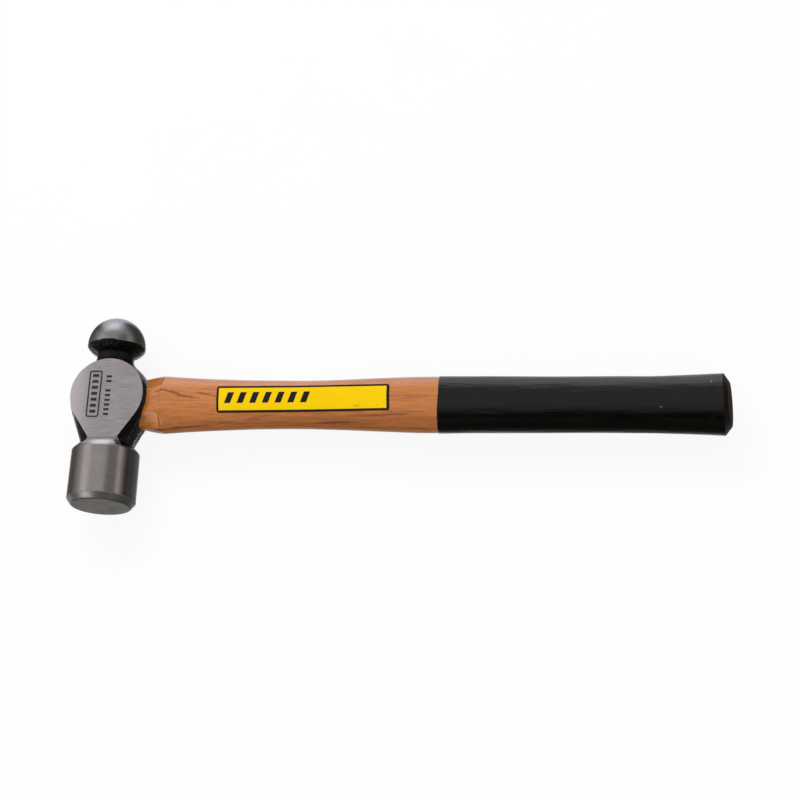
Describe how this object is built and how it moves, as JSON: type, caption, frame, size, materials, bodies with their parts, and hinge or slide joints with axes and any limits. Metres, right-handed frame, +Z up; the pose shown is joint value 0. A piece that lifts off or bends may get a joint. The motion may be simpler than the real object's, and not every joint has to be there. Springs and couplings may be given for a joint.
{
  "type": "ball peen hammer",
  "caption": "Forged steel hammer head with a flat round poll and a half-ball peen, wedged on an oval wooden handle with a black lacquered grip and a plain label.",
  "frame": {"origin": "under the middle of the hammer as it lies on its side: centre of the bounding box in X and Y, at its bottom in Z", "axes": "+X along the handle from the head to the butt, +Y along the head from the striking face to the ball, +Z up through the upper cheek"},
  "size_m": [0.2936, 0.0882, 0.0308],
  "materials": {
    "head_steel": "ground cheeks and turned poll, polished ball, glossy black lacquer on the necks and sides",
    "hickory": "clear lacquer over orange brown hickory with dark reddish grain",
    "wedge_wood": "sawn flush with the head",
    "wedge_steel": "ground flush with the head",
    "grip_lacquer": "glossy black dipped lacquer that shows the grain of the wood",
    "label_film": "yellow film with a black border"
  },
  "bodies": {
    "root": {"hammer_head": "head_steel", "handle": "hickory", "wooden_wedge": "wedge_wood", "steel_wedge_ball_side": "wedge_steel", "steel_wedge_face_side": "wedge_steel", "grip_coating": "grip_lacquer", "label": "label_film"}
  },
  "joints": []
}
